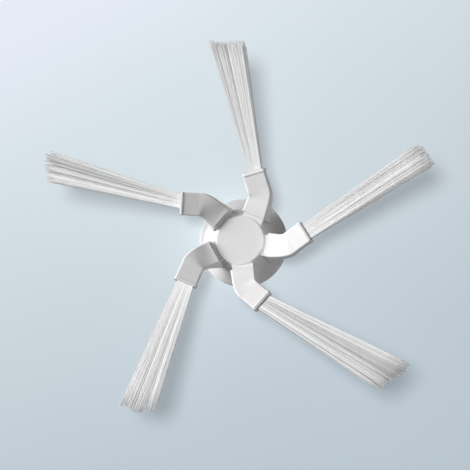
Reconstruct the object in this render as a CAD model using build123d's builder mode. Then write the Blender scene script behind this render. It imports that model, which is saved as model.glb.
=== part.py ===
"""Robot vacuum side brush.

One moulding, a bell-shaped hub with five cranked arms, carries five tufts of nylon filaments.
The brush lies on its rim with the side that faces the floor in use turned up: Z is the hub's axis,
and the origin is at the mouth of the drive socket. The first arm leaves the hub along +X.
"""

from math import atan, cos, degrees, hypot, radians, sin, sqrt, tan
import os
from random import Random

from build123d import *

# Hub: a round cap on a bell-shaped skirt, which falls from a shoulder and flares out to the rim
RIM_DIAMETER = 35.5
RIM_HEIGHT = 1.0
RIM_ROUNDING = 0.4
RIM_LAND = 0.5
CAP_DIAMETER = 19.6
CAP_HEIGHT = 9.0
CAP_THICKNESS = 1.8
CAP_ROUNDING = 0.7
SHOULDER_DROP = 1.0
SKIRT_SLOPE = 65.0
SKIRT_FLARE = 4.5
SKIRT_WALL = 1.4

# Drive boss and ribs on the hidden side
SOCKET_ACROSS = 7.0
SOCKET_ROUNDING = 1.2
SOCKET_ROOF = 2.8
LEAD_IN_STEP = 0.25
LEAD_IN_DEPTH = 2.0
BOSS_WALL = 1.7
RIB_THICKNESS = 1.2
RIB_SETBACK = 3.0

# Arms: each rises from the skirt, turns and ends in a flat ferrule with a bead round its mouth
ARM_COUNT = 5
ARM_GAP = 1.3
ARM_LIFT = 2.0
ARM_OFFSET = -1.0
ARM_WIDTH = 9.0
ARM_THICKNESS = 3.3
ARM_ROUNDING = 0.6
ARM_ROOT_WIDTH = 9.7
ARM_ROOT_DEPTH = 8.0
ARM_STRAIGHT = 5.5
ARM_TURN = 40.0
ARM_TURN_RADIUS = 6.0
ARM_RISE = 3.7
ARM_ROOT_SLOPE = 8.0
ARM_END_SLOPE = 8.0
ARM_STATIONS = 5
PAD_DROP = 0.5
PAD_ROUNDING = 0.3
GUSSET_FLARE = 1.4
GUSSET_DROP = 1.0
GUSSET_REACH = 0.6
GUSSET_STATIONS = 3
FERRULE_LENGTH = 7.5
FERRULE_PITCH = 14.0
FERRULE_BANK = 7.0
FERRULE_WALL = 0.65
BEAD_PROUD = 0.25
BEAD_LENGTH = 1.2
BEAD_BACK_ROUNDING = 0.2
BEAD_LIP_ROUNDING = 0.7
POCKET_FLOOR = 1.4
POCKET_ROUNDING = 0.5

# Tufts; lengths, spreads and leans go tuft by tuft, counter-clockwise from the first arm
ROOT_CLEARANCE = 0.05
ROOT_RECESS = 0.3
BUNDLE_SIDE_MARGIN = 0.5
BUNDLE_FACE_MARGIN = 0.15
FILAMENT_DIAMETER = 0.4
FILAMENT_SIDES = 6
FILAMENT_COLUMNS = 14
FILAMENT_ROWS = 4
FILAMENT_GRIP = 1.0
TUFT_LENGTHS = (53.5, 50.5, 53.0, 51.0, 57.5)
TUFT_SPREADS = (9.5, 12.8, 12.8, 13.6, 13.6)
TUFT_LEANS = (-2.5, -5.0, -12.0, 2.5, 9.0)
TUFT_DROOP = 3.0
TUFT_SPLAY = 4.0
TIP_UNEVENNESS = 2.5


# Places that follow from the sizes above
rim_radius = RIM_DIAMETER / 2
cap_radius = CAP_DIAMETER / 2
shoulder_height = CAP_HEIGHT - SHOULDER_DROP
flare_radius = rim_radius - RIM_ROUNDING - RIM_LAND
waist_radius = flare_radius - SKIRT_FLARE * sin(radians(SKIRT_SLOPE))
waist_height = RIM_HEIGHT + SKIRT_FLARE * (1 - cos(radians(SKIRT_SLOPE)))
ceiling_height = CAP_HEIGHT - CAP_THICKNESS
socket_corner = (SOCKET_ACROSS / 2 - SOCKET_ROUNDING) * sqrt(2) + SOCKET_ROUNDING
lead_in_radius = socket_corner + LEAD_IN_STEP
boss_radius = lead_in_radius + BOSS_WALL
arm_start = cap_radius + ARM_GAP
arm_top = CAP_HEIGHT + ARM_LIFT
arm_body = ARM_STRAIGHT + ARM_TURN_RADIUS * radians(ARM_TURN)
pocket_width = ARM_WIDTH - 2 * FERRULE_WALL
pocket_height = ARM_THICKNESS - 2 * FERRULE_WALL
pocket_depth = FERRULE_LENGTH - POCKET_FLOOR
bundle_width = pocket_width - 2 * BUNDLE_SIDE_MARGIN
bundle_height = pocket_height - 2 * BUNDLE_FACE_MARGIN


def hollow_radius(height):
    """Radius of the hollow's wall, one skirt wall in from a cone from the skirt's waist to its shoulder."""
    run = waist_radius - cap_radius
    rise = shoulder_height - waist_height
    wall_across = SKIRT_WALL * hypot(run, rise) / rise
    return waist_radius - run * (height - waist_height) / rise - wall_across


def arm_width(share):
    """Width of an arm's body at a share of its length: wider at its root."""
    return ARM_WIDTH + (ARM_ROOT_WIDTH - ARM_WIDTH) * (1 - share) ** 2


def arm_depth(share):
    """Thickness of an arm's body at a share of its length: deeper at its root."""
    return ARM_THICKNESS + (ARM_ROOT_DEPTH - ARM_THICKNESS) * (1 - share)


def arm_height(share):
    """Height of an arm's top line at a share of its length: a cubic with a set slope at each end."""
    first = tan(radians(ARM_ROOT_SLOPE)) * arm_body
    last = tan(radians(ARM_END_SLOPE)) * arm_body
    squared = 3 * ARM_RISE - 2 * first - last
    cubed = first + last - 2 * ARM_RISE
    return arm_top + first * share + squared * share**2 + cubed * share**3


def arm_plane(share, beyond=0.0):
    """Plane across an arm on its top line, at a share of its body or a distance beyond its end.

    In plan the body runs straight and then turns on an arc; towards the ferrule it also pitches up
    and banks to its left. X points to the arm's left, Y up and Z out along the arm.
    """
    heading = max(arm_body * share - ARM_STRAIGHT, 0) / ARM_TURN_RADIUS
    pitch = radians(FERRULE_PITCH * share)
    bank = radians(FERRULE_BANK * share)
    out = Vector(cos(heading) * cos(pitch), sin(heading) * cos(pitch), sin(pitch))
    level_left = Vector(-sin(heading), cos(heading), 0)
    left = level_left * cos(bank) - out.cross(level_left) * sin(bank)
    start = Vector(
        arm_start + min(arm_body * share, ARM_STRAIGHT) + ARM_TURN_RADIUS * sin(heading),
        ARM_OFFSET + ARM_TURN_RADIUS * (1 - cos(heading)),
        arm_height(share),
    )
    return Plane(start + out * beyond, x_dir=left, z_dir=out)


# Skirt and cap, turned about the hub's axis
with BuildPart() as bell:
    with BuildSketch(Plane.XZ) as bell_half:
        with BuildLine():
            flare = CenterArc((flare_radius, RIM_HEIGHT + SKIRT_FLARE), SKIRT_FLARE, -90, -SKIRT_SLOPE)
            shoulder = TangentArc(flare @ 1, (cap_radius, shoulder_height), tangent=flare % 1)
            Polyline(
                shoulder @ 1,
                (cap_radius, CAP_HEIGHT),
                (0, CAP_HEIGHT),
                (0, 0),
                (rim_radius, 0),
                (rim_radius, RIM_HEIGHT),
                flare @ 0,
            )
        make_face()
        fillet(bell_half.vertices().sort_by_distance((rim_radius, RIM_HEIGHT))[0], RIM_ROUNDING)
        fillet(bell_half.vertices().sort_by_distance((cap_radius, CAP_HEIGHT))[0], CAP_ROUNDING)
    revolve(axis=Axis.Z)

# One arm along +X: the body that turns as it rises, then the straight ferrule
with BuildPart() as arm:
    for station in range(ARM_STATIONS):
        share = station / (ARM_STATIONS - 1)
        with BuildSketch(arm_plane(share)):
            with Locations((0, -arm_depth(share) / 2)):
                RectangleRounded(arm_width(share), arm_depth(share), ARM_ROUNDING)
    loft()
    extrude(arm.faces().filter_by(GeomType.PLANE).sort_by(Axis.X)[-1], amount=FERRULE_LENGTH)

# Pad that joins the arm's root to the cap, a little lower than the cap's top
with BuildPart() as pad:
    with BuildSketch(Plane.XY.offset(arm_top - ARM_ROOT_DEPTH)):
        with Locations((arm_start + ARM_ROUNDING, ARM_OFFSET)):
            Rectangle(cap_radius, ARM_ROOT_WIDTH - 2 * ARM_ROUNDING, align=(Align.MAX, Align.CENTER))
    extrude(amount=ARM_ROOT_DEPTH - ARM_LIFT - PAD_DROP)
    fillet(pad.faces().sort_by(Axis.Z)[-1].edges().filter_by(Axis.X), PAD_ROUNDING)

# Gusset that widens the arm's root towards the skirt and fades into the arm's body
with BuildPart() as gusset:
    for station in range(GUSSET_STATIONS):
        fade = station / (GUSSET_STATIONS - 1)
        share = GUSSET_REACH * fade
        inside = arm_width(share) / 2 - ARM_ROUNDING / 2
        outside = inside + (GUSSET_FLARE + ARM_ROUNDING / 2) * (1 - fade)
        bottom = arm_depth(share) + GUSSET_DROP * (1 - fade) - ARM_ROUNDING * fade
        with BuildSketch(arm_plane(share)):
            Polygon(
                (-inside, -ARM_ROUNDING),
                (-outside, -bottom),
                (outside, -bottom),
                (inside, -ARM_ROUNDING),
                align=None,
            )
    loft()

# Rounded bead round the ferrule's mouth
with BuildPart() as bead:
    with BuildSketch(arm_plane(1, FERRULE_LENGTH - BEAD_LENGTH)):
        with Locations((0, -ARM_THICKNESS / 2)):
            RectangleRounded(
                ARM_WIDTH + 2 * BEAD_PROUD,
                ARM_THICKNESS + 2 * BEAD_PROUD,
                ARM_ROUNDING + BEAD_PROUD,
            )
    extrude(amount=BEAD_LENGTH)
    along = Axis(arm_plane(1).origin, arm_plane(1).z_dir)
    fillet(bead.faces().filter_by(along).sort_by(along)[0].edges(), BEAD_BACK_ROUNDING)
    fillet(bead.faces().filter_by(along).sort_by(along)[-1].edges(), BEAD_LIP_ROUNDING)

# Pocket that the tuft's root sits in
with BuildPart() as pocket:
    with BuildSketch(arm_plane(1, FERRULE_LENGTH)):
        with Locations((0, -ARM_THICKNESS / 2)):
            RectangleRounded(pocket_width, pocket_height, POCKET_ROUNDING)
    extrude(amount=-pocket_depth)

# Hollow under the skirt: what is left standing in it is the boss and one rib under each arm
with BuildPart() as hollow:
    with BuildSketch(Plane.XZ):
        with BuildLine():
            Polyline(
                (0, 0),
                (hollow_radius(0), 0),
                (hollow_radius(ceiling_height), ceiling_height),
                (0, ceiling_height),
                close=True,
            )
        make_face()
    revolve(axis=Axis.Z)
    with BuildSketch(Plane.XY):
        Circle(boss_radius)
    extrude(amount=CAP_HEIGHT, mode=Mode.SUBTRACT)
    with BuildSketch(Plane.XY.offset(RIB_SETBACK)):
        with PolarLocations(rim_radius / 2, ARM_COUNT):
            Rectangle(rim_radius, RIB_THICKNESS)
    extrude(amount=CAP_HEIGHT, mode=Mode.SUBTRACT)

# The whole moulding
with BuildPart() as hub:
    add(bell.part)
    with PolarLocations(0, ARM_COUNT):
        add(arm.part)
        add(pad.part)
        add(gusset.part)
        add(bead.part)
    with PolarLocations(0, ARM_COUNT):
        add(pocket.part, mode=Mode.SUBTRACT)
    add(hollow.part, mode=Mode.SUBTRACT)
    with BuildSketch(Plane.XY):
        Circle(lead_in_radius)
    extrude(amount=LEAD_IN_DEPTH, mode=Mode.SUBTRACT)
    with BuildSketch(Plane.XY):
        RectangleRounded(SOCKET_ACROSS, SOCKET_ACROSS, SOCKET_ROUNDING)
    extrude(amount=CAP_HEIGHT - SOCKET_ROOF, mode=Mode.SUBTRACT)
hub.part.label = "hub_with_arms"


def make_tuft(index):
    """One tuft: a root that fills the ferrule's pocket, and filaments that fan out from it."""
    turned = Location((0, 0, 0), (0, 0, index * 360.0 / ARM_COUNT))
    mouth = Plane(turned * arm_plane(1, FERRULE_LENGTH).location)
    middle = -ARM_THICKNESS / 2
    length = TUFT_LENGTHS[index]
    fan = degrees(atan((TUFT_SPREADS[index] - bundle_width) / 2 / length))
    uneven = Random(index)
    with BuildPart() as tuft:
        with BuildSketch(mouth.offset(-pocket_depth)):
            with Locations((0, middle)):
                RectangleRounded(
                    pocket_width - 2 * ROOT_CLEARANCE,
                    pocket_height - 2 * ROOT_CLEARANCE,
                    POCKET_ROUNDING - ROOT_CLEARANCE,
                )
        extrude(amount=pocket_depth - ROOT_RECESS)
        filaments = []
        for row in range(FILAMENT_ROWS):
            up = 2 * row / (FILAMENT_ROWS - 1) - 1
            tilt = radians(TUFT_SPLAY * up / 2 - TUFT_DROOP)
            for column in range(FILAMENT_COLUMNS):
                side = 2 * column / (FILAMENT_COLUMNS - 1) - 1
                turn = radians(TUFT_LEANS[index] + fan * side)
                out = Vector(sin(turn) * cos(tilt), sin(tilt), cos(turn) * cos(tilt))
                leaves_root = Vector(
                    side * (bundle_width - FILAMENT_DIAMETER) / 2,
                    middle + up * (bundle_height - FILAMENT_DIAMETER) / 2,
                    -ROOT_RECESS,
                )
                start = Plane(leaves_root - out * FILAMENT_GRIP, z_dir=out)
                reach = length + uneven.uniform(-TIP_UNEVENNESS, TIP_UNEVENNESS)
                with BuildSketch(Plane(mouth.location * start.location)):
                    RegularPolygon(FILAMENT_DIAMETER / 2, FILAMENT_SIDES)
                filaments.append(extrude(amount=FILAMENT_GRIP + reach, mode=Mode.PRIVATE))
        add(filaments)
    tuft.part.label = f"bristle_tuft_{index + 1}"
    return tuft.part


os.makedirs("parts", exist_ok=True)
export_step(hub.part, f"parts/{hub.part.label}.step")
for index in range(ARM_COUNT):
    piece = make_tuft(index)
    export_step(piece, f"parts/{piece.label}.step")
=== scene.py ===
"""Looks of a robot vacuum side brush: one white moulding with five tufts of nylon bristles.

The moulding is the CAD node with a satin plastic finish. Each tuft is grown here, filament by
filament, in the ferrule that holds it. Lengths are in metres, in the CAD model's frame.
"""

from math import cos, pi, radians, sin
from typing import NamedTuple

import bpy
import numpy as np
from bpy.props import FloatProperty, FloatVectorProperty, IntProperty, PointerProperty
from mathutils import Matrix, Vector


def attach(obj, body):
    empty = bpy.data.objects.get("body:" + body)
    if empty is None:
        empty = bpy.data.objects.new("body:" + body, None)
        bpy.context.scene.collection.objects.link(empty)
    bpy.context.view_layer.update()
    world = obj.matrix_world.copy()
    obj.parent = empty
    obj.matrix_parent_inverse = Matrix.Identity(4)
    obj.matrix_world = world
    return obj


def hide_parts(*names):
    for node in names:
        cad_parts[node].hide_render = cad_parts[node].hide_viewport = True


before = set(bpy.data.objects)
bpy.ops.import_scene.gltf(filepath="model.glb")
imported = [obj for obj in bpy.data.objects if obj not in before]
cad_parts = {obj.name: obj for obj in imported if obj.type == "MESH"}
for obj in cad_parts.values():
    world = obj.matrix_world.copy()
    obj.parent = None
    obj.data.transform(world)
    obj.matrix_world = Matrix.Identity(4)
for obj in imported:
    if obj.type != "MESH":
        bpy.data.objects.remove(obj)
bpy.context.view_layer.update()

bl_info = {
    "name": "Side brush",
    "version": (1, 0, 0),
    "blender": (4, 5, 0),
    "location": "View3D > Sidebar > Side brush",
    "description": "Finishes the moulding, grows the bristle tufts and sets up the stage",
    "category": "Object",
}

MM = 0.001

# Ferrule of the first arm, as in the CAD model: the others are turned about Z from it
ARM_COUNT = 5
FERRULE_TURN = 40.0
FERRULE_PITCH = 14.0
FERRULE_BANK = 7.0
FERRULE_TOP = (20.457 * MM, 0.404 * MM, 14.7 * MM)
FERRULE_LENGTH = 7.5 * MM
FERRULE_THICKNESS = 3.3 * MM
POCKET_WIDTH = 7.7 * MM
POCKET_HEIGHT = 2.0 * MM
POCKET_DEPTH = 6.1 * MM
POCKET_ROUNDING = 0.5 * MM

# Fused root of a tuft, which fills the pocket
ROOT_CLEARANCE = 0.05 * MM
ROOT_RECESS = 0.3 * MM
ROOT_CORNER_POINTS = 5
ROOT_TONE = 0.5

# Filaments: how the root holds them, and how far locks and clumps draw them in
FILAMENT_SIDES = 6
FILAMENT_GRIP = 1.0 * MM
MOUTH_GAP = 0.15 * MM
LOCK_PULL = 0.3
CLUMP_PULL = 0.16
FIRST_SEED = 11

# Jitter of their places, as shares of half the step between columns or layers
COLUMN_JITTER = 0.5
LAYER_JITTER = 1.0

# A little under 1, so that the outermost filament still falls in the last lock
WITHIN_LAST_LOCK = 0.999

# Standard deviations of the filaments' turns, in degrees, and of their lengths
LOCK_LEAN = 0.2
LOCK_TILT = 0.5
CLUMP_LEAN = 0.25
CLUMP_TILT = 0.7
CLUMP_REACH = 0.5 * MM
STRAY_LEAN = 0.07
STRAY_TILT = 0.2
BOW = 0.05 * MM
CURL = 0.08 * MM

# Tones of the filaments, from 0 for pale to 1 for dull
LOCK_TONE = 0.7
OWN_TONE = 0.3
# Painted shade: how much duller filaments deep in a tuft are made, and how much of that the tips lose
DEPTH_SHADE = 0.75
DEPTH_SHADE_LOSS_AT_TIP = 0.6
HIGHEST_TONE = 1.6

# Stations along a filament, as shares of its length, with the two between which the painted shadow of
# the ferrule's lip fades out
LIP_SHADOW_START = 0.028
LIP_SHADOW_END = 0.037
STATIONS = (0.0, LIP_SHADOW_START, LIP_SHADOW_END, 0.2, 0.4, 0.6, 0.8, 1.0)

# Finishes: sizes of their noises, and how far these move a colour, a roughness or a height
CLOUD_SIZE = 9 * MM
CLOUD_DETAIL = 3.0
CLOUD_CONTRAST = 1.6
CLOUD_ROUGHNESS = 0.08
FLOW_SIZE = 1.4 * MM
FLOW_ROUGHNESS = 0.1
FLOW_HEIGHT = 0.6
PLASTIC_IOR = 1.49
DRIFT_SIZE = 3 * MM
DRIFT_TONE = 0.2
DRIFT_ROUGHNESS = 0.2
NYLON_ROUGHNESS = 0.38
NYLON_IOR = 1.53
SPECK_SIZE = 0.8 * MM
SPECK_ROUGHNESS = 0.1
FLOOR_ROUGHNESS = 0.9
FLOOR_SPECULAR = 0.1

# Floor: half its width, the way in which it darkens, over what length, and where each colour lies
FLOOR_REACH = 2.0
FLOOR_FALL = (0.515, -0.857, 0.0)
FLOOR_SPAN = 250 * MM
FLOOR_STOPS = {
    "floor_light": 0.0,
    "floor_pale": 0.22,
    "floor_middle": 0.5,
    "floor_dim": 0.74,
    "floor_dark": 1.0,
}

# Height, as a share of the dome's radius, over which the light from below meets the one from above
HORIZON_BLEND = 0.25

# Camera, with its angles in degrees
CAMERA_DISTANCE = 450 * MM
CAMERA_OFF_AXIS = 11.89
CAMERA_AZIMUTH = -30.13
CAMERA_ROLL = 6.87
CAMERA_SENSOR = 36.0
CAMERA_SHIFT = (-0.0186, 0.0168)
CAMERA_CLIP_START = 10 * MM


class Tuft(NamedTuple):
    """How one tuft stands, with lengths in metres and its lean to the left in degrees.

    Spread is its width at the tips, and slant is how much further its left side reaches than its
    right. Partings, as shares of its half width, split it into clumps. Its locks' tones lie round a
    mean and differ by up to a contrast. Next to the ferrule a painted shadow of the ferrule's lip
    darkens them, by a strength of their own, and they are duller by shade from the middle to the
    left side. At the mouth the filaments lie between two places across the ferrule.
    """

    length: float
    spread: float
    lean: float
    slant: float
    partings: tuple
    tone: float
    contrast: float
    # Strength of the painted shadow that the ferrule's lip casts on the filaments next to it
    lip_shadow: float
    shade: float = 0.0
    mouth: tuple = (-3.2 * MM, 3.2 * MM)


TUFTS = (
    Tuft(
        length=53.5 * MM, spread=9.5 * MM, lean=-2.5, slant=-1.4 * MM,
        partings=(-0.7, -0.35, 0.45, 0.85), tone=0.29, contrast=0.26, lip_shadow=1.4, shade=0.1,
    ),
    Tuft(
        length=50.5 * MM, spread=12.8 * MM, lean=-5.0, slant=2.9 * MM,
        partings=(0.15, 0.55, 0.8), tone=0.45, contrast=0.5, lip_shadow=0.3, shade=0.05,
        mouth=(-3.2 * MM, 1.9 * MM),
    ),
    Tuft(
        length=53.0 * MM, spread=12.0 * MM, lean=-12.4, slant=-1.8 * MM,
        partings=(-0.75, -0.35, 0.3), tone=0.42, contrast=0.55, lip_shadow=0.1, shade=-0.15,
        mouth=(-3.2 * MM, 1.8 * MM),
    ),
    Tuft(
        length=51.0 * MM, spread=13.6 * MM, lean=2.5, slant=-1.9 * MM,
        partings=(-0.45, 0.35), tone=0.16, contrast=0.32, lip_shadow=0.2,
    ),
    Tuft(
        length=57.5 * MM, spread=13.6 * MM, lean=9.0, slant=3.4 * MM,
        partings=(-0.7, -0.35, 0.35), tone=0.57, contrast=1.35, lip_shadow=1.4,
    ),
)


class Lamp(NamedTuple):
    """Where one light hangs, with its angles in degrees, and what it falls on.

    A lamp without a size is a distant one, which is as strong everywhere.
    """

    azimuth: float
    elevation: float
    size: float
    receivers: str
    shadow: bool = True


# The strength of each is the stage's setting of the same name
LAMPS = {
    "key": Lamp(azimuth=171.0, elevation=29.5, size=0.65, receivers="moulding"),
    "fill": Lamp(azimuth=0.0, elevation=50.0, size=0.8, receivers="moulding"),
    "strand": Lamp(azimuth=150.0, elevation=65.0, size=0.7, receivers="bristles"),
    "sheen": Lamp(azimuth=-30.0, elevation=78.0, size=0.5, receivers="bristles", shadow=False),
    "overhead": Lamp(azimuth=136.0, elevation=82.5, size=0.4, receivers="floor"),
    "wash": Lamp(azimuth=0.0, elevation=90.0, size=0.0, receivers="floor", shadow=False),
}


class MouldingSettings(bpy.types.PropertyGroup):
    """Finish of the moulded hub and arms."""

    colour: FloatVectorProperty(
        name="Colour", description="White of the moulded plastic", subtype="COLOR",
        default=(0.85, 0.838, 0.844),
    )
    cloud: FloatVectorProperty(
        name="Cloud", description="Slightly duller white that drifts through it", subtype="COLOR",
        default=(0.81, 0.8, 0.805),
    )
    grain_size: FloatProperty(
        name="Grain", description="Size of the mould's fine texture", unit="LENGTH", precision=5,
        default=0.25 * MM,
    )
    grain_depth: FloatProperty(
        name="Grain depth", description="Depth of the mould's fine texture", unit="LENGTH",
        precision=6, default=0.012 * MM,
    )
    roughness: FloatProperty(
        name="Roughness", description="Mean roughness of the satin surface", subtype="FACTOR",
        min=0, max=1, default=0.45,
    )


class BristleSettings(bpy.types.PropertyGroup):
    """Make and finish of the bristle tufts."""

    columns: IntProperty(
        name="Columns", description="Filaments across a tuft", default=30, min=2,
    )
    rows: IntProperty(
        name="Rows", description="Layers of filaments in a tuft", default=8, min=2,
    )
    locks: IntProperty(
        name="Locks", description="Narrow locks that a tuft's filaments gather in", default=20,
        min=1,
    )
    diameter: FloatProperty(
        name="Diameter", description="Thickness of a filament", unit="LENGTH", precision=5,
        default=0.26 * MM,
    )
    droop: FloatProperty(
        name="Droop", description="Angle by which a tuft hangs below its ferrule", subtype="ANGLE",
        default=radians(3.0),
    )
    splay: FloatProperty(
        name="Splay", description="Angle between the top and bottom layers", subtype="ANGLE",
        default=radians(4.0),
    )
    unevenness: FloatProperty(
        name="Unevenness", description="How far tips lie before or behind the mean",
        unit="LENGTH", precision=4, default=1.6 * MM,
    )
    pale: FloatVectorProperty(
        name="Pale", description="Colour of the whitest filaments", subtype="COLOR",
        default=(0.98, 0.98, 0.98),
    )
    dull: FloatVectorProperty(
        name="Dull", description="Colour of the dullest filaments", subtype="COLOR",
        default=(0.5, 0.5, 0.505),
    )


class StageSettings(bpy.types.PropertyGroup):
    """Floor, lights and camera."""

    floor_light: FloatVectorProperty(
        name="Floor, light end", description="Floor colour behind the brush on the left",
        subtype="COLOR", default=(0.82, 0.867, 0.956),
    )
    floor_pale: FloatVectorProperty(
        name="Floor, pale part", description="Floor colour a quarter of the way to the dark end",
        subtype="COLOR", default=(0.706, 0.788, 0.837),
    )
    floor_middle: FloatVectorProperty(
        name="Floor, middle", description="Floor colour under the brush",
        subtype="COLOR", default=(0.616, 0.694, 0.742),
    )
    floor_dim: FloatVectorProperty(
        name="Floor, dim part",
        description="Floor colour three quarters of the way to the dark end",
        subtype="COLOR", default=(0.543, 0.629, 0.694),
    )
    floor_dark: FloatVectorProperty(
        name="Floor, dark end", description="Floor colour in front of the brush on the right",
        subtype="COLOR", default=(0.517, 0.604, 0.673),
    )
    key: FloatProperty(
        name="Key light", description="Strength of the low light on the moulding", default=1.56,
    )
    fill: FloatProperty(
        name="Fill light", description="Strength of the light on the moulding's far side",
        default=0.22,
    )
    strand: FloatProperty(
        name="Strand light", description="Strength of the light that parts the bristles",
        default=0.70,
    )
    sheen: FloatProperty(
        name="Sheen light", description="Strength of the even light on the bristles", default=0.46,
    )
    overhead: FloatProperty(
        name="Overhead light", description="Strength of the light that casts shadows on the floor",
        default=0.4,
    )
    wash: FloatProperty(
        name="Floor wash", description="Strength of the even light on the floor", default=0.555,
    )
    backdrop: FloatVectorProperty(
        name="Backdrop", description="Colour behind the floor in low views", subtype="COLOR",
        default=(0.56, 0.62, 0.68),
    )
    dome: FloatProperty(
        name="Dome", description="Strength of the even light from above", default=0.02,
    )
    bounce: FloatProperty(
        name="Bounce", description="Strength of the even light from below", default=0.42,
    )
    lens: FloatProperty(
        name="Lens", description="Focal length of the camera", unit="CAMERA", default=86.1,
    )


class Wire:
    """An output socket that can be used in sums: each operator adds a Math node to its graph."""

    def __init__(self, graph, socket):
        self.graph = graph
        self.socket = socket

    def __add__(self, other):
        return self.graph.math("ADD", self, other)

    def __sub__(self, other):
        return self.graph.math("SUBTRACT", self, other)

    def __mul__(self, other):
        return self.graph.math("MULTIPLY", self, other)

    def __rsub__(self, other):
        return self.graph.math("SUBTRACT", other, self)

    __radd__ = __add__
    __rmul__ = __mul__


class Graph:
    """The nodes of one material or world."""

    # A Mix node's sockets for colours, which share their names with those for other kinds of data
    MIX_FIRST = 6
    MIX_SECOND = 7
    MIX_RESULT = 2

    def __init__(self, owner):
        owner.use_nodes = True
        self.tree = owner.node_tree
        self.tree.nodes.clear()

    def node(self, kind, settings=None, sockets=None, output=0):
        """Adds a node, sets its settings, then its sockets' values or links, and gives an output."""
        made = self.tree.nodes.new(kind)
        for name, value in (settings or {}).items():
            if name == "stops":
                self.set_stops(made.color_ramp, value)
            else:
                setattr(made, name, value)
        for name, value in (sockets or {}).items():
            if isinstance(value, Wire):
                self.tree.links.new(value.socket, made.inputs[name])
            else:
                made.inputs[name].default_value = value
        return Wire(self, made.outputs[output]) if len(made.outputs) else None

    def set_stops(self, ramp, stops):
        """Gives a colour ramp its stops, each a position and a colour."""
        while len(ramp.elements) < len(stops):
            ramp.elements.new(1.0)
        for element, (position, colour) in zip(ramp.elements, stops):
            element.position = position
            element.color = (*colour, 1.0)

    def math(self, operation, first, second):
        """One Math node on two values."""
        return self.node("ShaderNodeMath", {"operation": operation}, {0: first, 1: second})

    def mix(self, share, first, second):
        """A colour between two colours, by share, or past them where share is past 0 or 1."""
        return self.node(
            "ShaderNodeMix",
            {"data_type": "RGBA", "clamp_factor": False},
            {"Factor": share, self.MIX_FIRST: (*first, 1.0), self.MIX_SECOND: (*second, 1.0)},
            output=self.MIX_RESULT,
        )

    def noise(self, size, detail=2.0):
        """Noise from -0.5 to 0.5, with features of about this size in metres."""
        sockets = {"Vector": self.place(), "Scale": 1 / size, "Detail": detail, "Roughness": 0.5}
        return self.node("ShaderNodeTexNoise", {}, sockets) - 0.5

    def place(self):
        """Object coordinates."""
        return self.node("ShaderNodeTexCoord", output="Object")

    def surface(self, sockets):
        """A Principled surface on the material's output."""
        shader = self.node("ShaderNodeBsdfPrincipled", {}, sockets)
        self.node("ShaderNodeOutputMaterial", {}, {"Surface": shader})


def satin_plastic(settings):
    """White moulded plastic: faint clouding, uneven satin gloss and the mould's fine grain."""
    material = bpy.data.materials.new("satin_plastic")
    graph = Graph(material)
    cloud = graph.noise(CLOUD_SIZE, CLOUD_DETAIL)
    flow = graph.noise(FLOW_SIZE)
    height = graph.noise(settings.grain_size) + flow * FLOW_HEIGHT
    bump = {"Strength": 1.0, "Distance": settings.grain_depth, "Height": height}
    graph.surface({
        "Base Color": graph.mix(cloud * CLOUD_CONTRAST + 0.5, settings.colour, settings.cloud),
        "Roughness": settings.roughness + flow * FLOW_ROUGHNESS + cloud * CLOUD_ROUGHNESS,
        "Normal": graph.node("ShaderNodeBump", {}, bump),
        "IOR": PLASTIC_IOR,
    })
    return material


def nylon(settings):
    """Nylon filament: each one between pale and dull, with faint changes along it."""
    material = bpy.data.materials.new("nylon_filament")
    graph = Graph(material)
    # The tone attribute holds each filament's own tone with painted shade from its depth in the tuft
    # and a painted shadow of the ferrule's lip added in
    tone = graph.node("ShaderNodeAttribute", {"attribute_name": "tone"}, output="Fac")
    drift = graph.noise(DRIFT_SIZE)
    graph.surface({
        "Base Color": graph.mix(tone + drift * DRIFT_TONE, settings.pale, settings.dull),
        "Roughness": NYLON_ROUGHNESS + drift * DRIFT_ROUGHNESS,
        "IOR": NYLON_IOR,
    })
    return material


def floor_paint(settings):
    """Dull pale paint that darkens along the floor through five colours, with a faint speckle."""
    material = bpy.data.materials.new("floor")
    graph = Graph(material)
    along = graph.node(
        "ShaderNodeVectorMath", {"operation": "DOT_PRODUCT"}, {0: graph.place(), 1: FLOOR_FALL},
        output="Value",
    )
    stops = [(position, getattr(settings, name)) for name, position in FLOOR_STOPS.items()]
    graph.surface({
        "Base Color": graph.node(
            "ShaderNodeValToRGB", {"stops": stops}, {"Fac": along * (1 / FLOOR_SPAN) + 0.5}
        ),
        "Roughness": FLOOR_ROUGHNESS + graph.noise(SPECK_SIZE) * SPECK_ROUGHNESS,
        "Specular IOR Level": FLOOR_SPECULAR,
    })
    return material


def mouth_axes(index):
    """Middle of a ferrule's mouth, and its left, up and out directions as rows.

    The out direction is turned from the hub's radius in plan and pitched up, and left and up are
    banked about it. The mouth lies one ferrule length out from the crease and half a thickness
    below the top face.
    """
    turn, pitch, bank = radians(FERRULE_TURN), radians(FERRULE_PITCH), radians(FERRULE_BANK)
    out = np.array((cos(turn) * cos(pitch), sin(turn) * cos(pitch), sin(pitch)))
    level_left = np.array((-sin(turn), cos(turn), 0.0))
    left = level_left * cos(bank) - np.cross(out, level_left) * sin(bank)
    up = np.cross(out, left)
    middle = np.array(FERRULE_TOP) + out * FERRULE_LENGTH - up * FERRULE_THICKNESS / 2
    spin = 2 * pi * index / ARM_COUNT
    about_z = np.array(((cos(spin), -sin(spin), 0), (sin(spin), cos(spin), 0), (0, 0, 1)))
    return about_z @ middle, np.stack((left, up, out)) @ about_z.T


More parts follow.
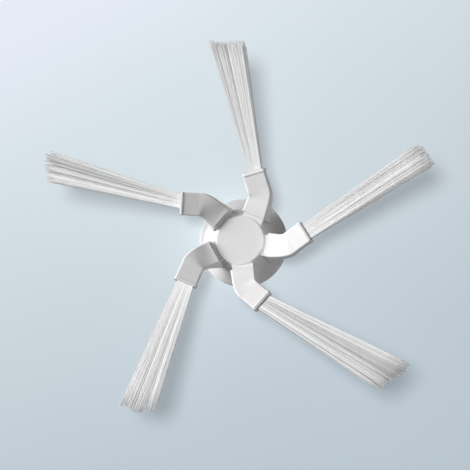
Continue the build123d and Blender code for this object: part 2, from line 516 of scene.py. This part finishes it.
def mouth_places(settings, chance):
    """Places of a tuft's filaments in its mouth, across it and by layer, each from -1 to 1.

    They are the points of a lattice, each moved at random by up to its share of half a step.
    """
    shape = (settings.rows, settings.columns)
    column = np.linspace(-1, 1, settings.columns)
    across = column + chance.uniform(-COLUMN_JITTER, COLUMN_JITTER, shape) / settings.columns
    row = np.linspace(-1, 1, settings.rows)[:, None]
    layer = row + chance.uniform(-LAYER_JITTER, LAYER_JITTER, shape) / settings.rows
    return np.clip(across, -1, 1).ravel(), np.clip(layer, -1, 1).ravel()


class Gathering(NamedTuple):
    """What clumps and locks do to each filament of a tuft.

    Closed is its place across the tuft after they have drawn it in, lean and tilt are its turns to
    the left and up, reach is its extra length and tone is how much duller it is at a contrast of 1.
    """

    closed: np.ndarray
    lean: np.ndarray
    tilt: np.ndarray
    reach: np.ndarray
    tone: np.ndarray


def gather(tuft, settings, across, looseness, chance):
    """Gathers filaments, by their places across the tuft, in clumps and in narrow locks.

    Partings split the tuft into clumps, and equal steps split it into locks. Each draws its
    filaments towards its own middle and leans a little by itself, so that gaps open beside it. The
    clumps' pull and all leans and tilts go by a looseness, from 1 in the top layer to 0 in the
    bottom one. A lock's filaments share most of their tone.
    """
    edges = np.array((-1.0, *tuft.partings, 1.0))
    clump = np.searchsorted(edges[1:-1], across)
    clumps = len(edges) - 1
    clump_middle = (edges[clump] + edges[clump + 1]) / 2
    lock = np.floor((across + 1) / 2 * settings.locks * WITHIN_LAST_LOCK).astype(int)
    lock_middle = (lock + 0.5) / settings.locks * 2 - 1
    locked = across + (lock_middle - across) * LOCK_PULL

    lock_lean = chance.normal(0, radians(LOCK_LEAN), settings.locks)[lock]
    lock_tilt = chance.normal(0, radians(LOCK_TILT), settings.locks)[lock]
    lock_tone = chance.uniform(-0.5, 0.5, settings.locks)[lock]
    own_tone = chance.uniform(-0.5, 0.5, across.size)
    clump_lean = chance.normal(0, radians(CLUMP_LEAN), clumps)[clump]
    clump_tilt = chance.normal(0, radians(CLUMP_TILT), clumps)[clump]
    clump_reach = chance.normal(0, CLUMP_REACH, clumps)[clump]
    return Gathering(
        closed=locked + (clump_middle - locked) * CLUMP_PULL * looseness,
        lean=(clump_lean + lock_lean) * looseness,
        tilt=(clump_tilt + lock_tilt) * looseness,
        reach=clump_reach,
        tone=LOCK_TONE * lock_tone + OWN_TONE * own_tone,
    )


def filament_lines(tuft, settings, chance):
    """Centre lines of a tuft's filaments, as filament by station by (left, up, out), and their tones.

    Filaments fan out from the mouth in straight lines: the angle to the left grows with the place
    across the tuft, the angle up with the layer. A half sine bows each line and a square curls its
    tip. Tones carry painted shade, duller by the square of the depth in the tuft and less so at the
    tips, and a painted shadow of the ferrule's lip next to it.
    """
    across, layer = mouth_places(settings, chance)
    count = across.size
    depth = (1 - layer) / 2
    gathered = gather(tuft, settings, across, 1 - depth, chance)

    right_end, left_end = tuft.mouth
    half_width, shift = (left_end - right_end) / 2, (left_end + right_end) / 2
    half_height = POCKET_HEIGHT / 2 - MOUTH_GAP - settings.diameter / 2
    fan = np.arctan((tuft.spread / 2 - half_width) / tuft.length)
    turn = radians(tuft.lean) - np.arctan(shift / tuft.length) + fan * gathered.closed
    turn = turn + gathered.lean + chance.normal(0, radians(STRAY_LEAN), count)
    tilt = settings.splay / 2 * layer - settings.droop + gathered.tilt
    tilt = tilt + chance.normal(0, radians(STRAY_TILT), count)
    reach = tuft.length + tuft.slant / 2 * across + gathered.reach
    reach = reach + chance.uniform(-1, 1, count) * settings.unevenness

    level = np.cos(tilt)
    heading = np.stack((np.sin(turn) * level, np.sin(tilt), np.cos(turn) * level), axis=-1)
    recess = np.full(count, -ROOT_RECESS)
    start = np.stack((shift + across * half_width, layer * half_height, recess), axis=-1)
    share = np.array(STATIONS)
    along = -FILAMENT_GRIP + (reach[:, None] + FILAMENT_GRIP) * share
    lines = start[:, None, :] + heading[:, None, :] * along[:, :, None]
    bow = chance.normal(0, BOW, (2, count, 1))
    curl = chance.normal(0, CURL, (2, count, 1))
    lines[:, :, :2] += np.moveaxis(bow * np.sin(pi * share) + curl * share**2, 0, -1)

    tones_with_shade = tuft.tone + tuft.contrast * gathered.tone + tuft.shade * across
    # Painted shade, darker deeper in the tuft
    painted_depth_shade = DEPTH_SHADE * depth[:, None] ** 2 * (1 - DEPTH_SHADE_LOSS_AT_TIP * share)
    # Painted shadow of the ferrule's lip: darkest at the mouth, gone a little way out
    lip_shadow_fade = (LIP_SHADOW_END - share) / (LIP_SHADOW_END - LIP_SHADOW_START)
    lip_shadow = tuft.lip_shadow * np.clip(lip_shadow_fade, 0, 1)
    return lines, np.clip(tones_with_shade[:, None] + painted_depth_shade + lip_shadow, 0, HIGHEST_TONE)


def tube_mesh(lines, radius, sides):
    """Vertices and faces of closed tubes of one radius round many centre lines.

    Each station's ring is a regular polygon across the line's direction there, from cosine and
    sine of equal steps; quads join the rings, and a polygon closes each end.
    """
    count, stations = lines.shape[:2]
    heading = np.gradient(lines, axis=1)
    heading /= np.linalg.norm(heading, axis=-1, keepdims=True)
    first = np.cross(heading, (0.0, 1.0, 0.0))
    first /= np.linalg.norm(first, axis=-1, keepdims=True)
    second = np.cross(heading, first)
    step = (np.arange(sides) * 2 * pi / sides)[:, None]
    ring = np.cos(step) * first[:, :, None, :] + np.sin(step) * second[:, :, None, :]
    points = lines[:, :, None, :] + radius * ring
    index = np.arange(count * stations * sides).reshape(count, stations, sides)
    onward = np.roll(index, -1, axis=2)
    quads = np.stack((index[:, :-1], onward[:, :-1], onward[:, 1:], index[:, 1:]), axis=-1)
    caps = np.concatenate((index[:, 0, ::-1], index[:, -1]))
    return points.reshape(-1, 3), quads.reshape(-1, 4).tolist() + caps.tolist()


def root_mesh(corner_points):
    """Vertices and faces of the fused root in the pocket: a rounded rectangle carried straight in.

    Each corner of the rectangle is a quarter circle, and the outline is repeated at both ends.
    """
    half = np.array((POCKET_WIDTH / 2, POCKET_HEIGHT / 2)) - ROOT_CLEARANCE
    rounding = POCKET_ROUNDING - ROOT_CLEARANCE
    angle = np.linspace(0, pi / 2, corner_points) + np.arange(4)[:, None] * pi / 2
    signs = np.array(((1, 1), (-1, 1), (-1, -1), (1, -1)))[:, None, :]
    arcs = rounding * np.stack((np.cos(angle), np.sin(angle)), axis=-1)
    outline = (signs * (half - rounding) + arcs).reshape(-1, 2)
    size = len(outline)
    depths = np.repeat((-POCKET_DEPTH, -ROOT_RECESS), size)
    points = np.column_stack((np.tile(outline, (2, 1)), depths))
    index = np.arange(size)
    onward = np.roll(index, -1)
    quads = np.stack((index, onward, onward + size, index + size), axis=-1)
    return points, quads.tolist() + [index[::-1].tolist(), (index + size).tolist()]


def new_piece(name, points, faces, material):
    """A mesh object at the origin, with its place in its mesh."""
    mesh = bpy.data.meshes.new(name)
    mesh.from_pydata(points.tolist(), [], faces)
    mesh.validate()
    mesh.materials.append(material)
    piece = bpy.data.objects.new(name, mesh)
    bpy.context.scene.collection.objects.link(piece)
    return piece


def grow_tuft(index, settings, material):
    """One tuft of filaments on its fused root, in place of the CAD model's tuft."""
    chance = np.random.default_rng(FIRST_SEED + index)
    lines, tones_with_shade = filament_lines(TUFTS[index], settings, chance)
    points, faces = tube_mesh(lines, settings.diameter / 2, FILAMENT_SIDES)
    root_points, root_faces = root_mesh(ROOT_CORNER_POINTS)
    faces += [[corner + len(points) for corner in face] for face in root_faces]
    # Tones per point, with the painted shade and painted shadow of the filaments in them
    root_tones = np.full(len(root_points), ROOT_TONE)
    tones_with_shade = np.concatenate((np.repeat(tones_with_shade, FILAMENT_SIDES), root_tones)).astype(np.float32)
    middle, axes = mouth_axes(index)
    points = np.concatenate((points, root_points)) @ axes + middle
    piece = new_piece(f"bristles_{index + 1}", points, faces, material)
    piece.data.attributes.new("tone", "FLOAT", "POINT").data.foreach_set("value", tones_with_shade)
    piece.data.polygons.foreach_set("use_smooth", [len(face) == 4 for face in faces])
    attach(piece, "root")
    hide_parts(f"bristle_tuft_{index + 1}")
    return piece


def collection(name):
    """The collection of this name, which some of the lights are kept to."""
    return bpy.data.collections.get(name) or bpy.data.collections.new(name)


def lay_floor(settings):
    """A wide level sheet under the rim, paler to the back left and darker to the front right."""
    corners = np.array(((-1, -1, 0), (1, -1, 0), (1, 1, 0), (-1, 1, 0))) * FLOOR_REACH
    floor = new_piece("floor", corners, [(0, 1, 2, 3)], floor_paint(settings))
    floor.visible_diffuse = False
    floor.visible_glossy = False
    collection("floor").objects.link(floor)


def hang_light(name, lamp, strength):
    """A round soft light one metre from the origin and aimed at it, kept to its receivers.

    At a strength of 1 a white surface that faces the light comes out just white. For that a
    distant light has an energy of pi, and a round one of the square of pi.
    """
    turn, rise = radians(lamp.azimuth), radians(lamp.elevation)
    towards = Vector((cos(turn) * cos(rise), sin(turn) * cos(rise), sin(rise)))
    data = bpy.data.lights.new(name, "AREA" if lamp.size else "SUN")
    data.energy = strength * pi
    data.use_shadow = lamp.shadow
    if lamp.size:
        data.shape = "DISK"
        data.size = lamp.size
        data.energy *= pi
    light = bpy.data.objects.new(name, data)
    light.location = towards
    light.rotation_euler = towards.to_track_quat("Z", "Y").to_euler()
    light.light_linking.receiver_collection = collection(lamp.receivers)
    bpy.context.scene.collection.objects.link(light)


def set_dome(settings):
    """Even light from below and a fainter one from above, with a pale backdrop for the camera."""
    world = bpy.data.worlds.new("dome")
    bpy.context.scene.world = world
    graph = Graph(world)
    direction = graph.node("ShaderNodeTexCoord", output="Generated")
    height = graph.node("ShaderNodeSeparateXYZ", {}, {0: direction}, output="Z")
    above = graph.node("ShaderNodeClamp", {}, {"Value": height * (1 / HORIZON_BLEND) + 0.5})
    strength = above * (settings.dome - settings.bounce) + settings.bounce
    white = (1.0, 1.0, 1.0, 1.0)
    light = graph.node("ShaderNodeBackground", {}, {"Color": white, "Strength": strength})
    backdrop = graph.node("ShaderNodeBackground", {}, {"Color": (*settings.backdrop, 1.0)})
    seen = graph.node("ShaderNodeLightPath", output="Is Camera Ray")
    both = graph.node("ShaderNodeMixShader", {}, {0: seen, 1: light, 2: backdrop})
    graph.node("ShaderNodeOutputWorld", {}, {"Surface": both})


def stand_camera(settings):
    """The camera looks down at the brush from a little off its axis, rolled so that +Y is nearly up."""
    off_axis, azimuth = radians(CAMERA_OFF_AXIS), radians(CAMERA_AZIMUTH)
    roll = radians(CAMERA_ROLL)
    back = Vector((sin(off_axis) * cos(azimuth), sin(off_axis) * sin(azimuth), cos(off_axis)))
    up = Vector((-sin(roll), cos(roll), 0.0))
    up = (up - back * up.dot(back)).normalized()
    right = up.cross(back)
    data = bpy.data.cameras.new("camera")
    data.sensor_width = CAMERA_SENSOR
    data.lens = settings.lens
    data.shift_x, data.shift_y = CAMERA_SHIFT
    data.clip_start = CAMERA_CLIP_START
    camera = bpy.data.objects.new("camera", data)
    facing = Matrix((right, up, back)).transposed().to_4x4()
    camera.matrix_world = Matrix.Translation(back * CAMERA_DISTANCE) @ facing
    bpy.context.scene.collection.objects.link(camera)
    bpy.context.scene.camera = camera


class BRUSH_OT_finish_moulding(bpy.types.Operator):
    """Give the moulded hub and arms their satin plastic"""

    bl_idname = "brush.finish_moulding"
    bl_label = "Finish moulding"

    def execute(self, context):
        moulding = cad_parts["hub_with_arms"]
        moulding.data.materials.clear()
        moulding.data.materials.append(satin_plastic(context.scene.brush_moulding))
        collection("moulding").objects.link(moulding)
        return {"FINISHED"}


class BRUSH_OT_grow_bristles(bpy.types.Operator):
    """Grow the five tufts of filaments in their ferrules"""

    bl_idname = "brush.grow_bristles"
    bl_label = "Grow bristles"

    def execute(self, context):
        settings = context.scene.brush_bristles
        material = nylon(settings)
        for index in range(ARM_COUNT):
            collection("bristles").objects.link(grow_tuft(index, settings, material))
        return {"FINISHED"}


class BRUSH_OT_set_stage(bpy.types.Operator):
    """Lay the pale floor, hang the lights and stand the camera"""

    bl_idname = "brush.set_stage"
    bl_label = "Set stage"

    def execute(self, context):
        settings = context.scene.brush_stage
        lay_floor(settings)
        for name, lamp in LAMPS.items():
            hang_light(name, lamp, getattr(settings, name))
        set_dome(settings)
        stand_camera(settings)
        context.scene.view_settings.view_transform = "Standard"
        return {"FINISHED"}


class BRUSH_PT_sidebar(bpy.types.Panel):
    """Lists the brush's steps and settings"""

    bl_label = "Side brush"
    bl_idname = "BRUSH_PT_sidebar"
    bl_space_type = "VIEW_3D"
    bl_region_type = "UI"
    bl_category = "Side brush"

    def draw(self, context):
        for operator, group in STEPS:
            box = self.layout.box()
            box.operator(operator.bl_idname)
            settings = getattr(context.scene, group)
            for name in settings.bl_rna.properties.keys():
                if name not in ("rna_type", "name"):
                    box.prop(settings, name)


STEPS = (
    (BRUSH_OT_finish_moulding, "brush_moulding"),
    (BRUSH_OT_grow_bristles, "brush_bristles"),
    (BRUSH_OT_set_stage, "brush_stage"),
)
SETTINGS = {
    "brush_moulding": MouldingSettings,
    "brush_bristles": BristleSettings,
    "brush_stage": StageSettings,
}


def register():
    for name, group in SETTINGS.items():
        bpy.utils.register_class(group)
        setattr(bpy.types.Scene, name, PointerProperty(type=group))
    for operator, _ in STEPS:
        bpy.utils.register_class(operator)
    bpy.utils.register_class(BRUSH_PT_sidebar)


def unregister():
    bpy.utils.unregister_class(BRUSH_PT_sidebar)
    for operator, _ in reversed(STEPS):
        bpy.utils.unregister_class(operator)
    for name, group in reversed(SETTINGS.items()):
        delattr(bpy.types.Scene, name)
        bpy.utils.unregister_class(group)


def main():
    """Runs the steps in order."""
    register()
    bpy.ops.brush.finish_moulding()
    bpy.ops.brush.grow_bristles()
    bpy.ops.brush.set_stage()


if __name__ == "__main__":
    main()
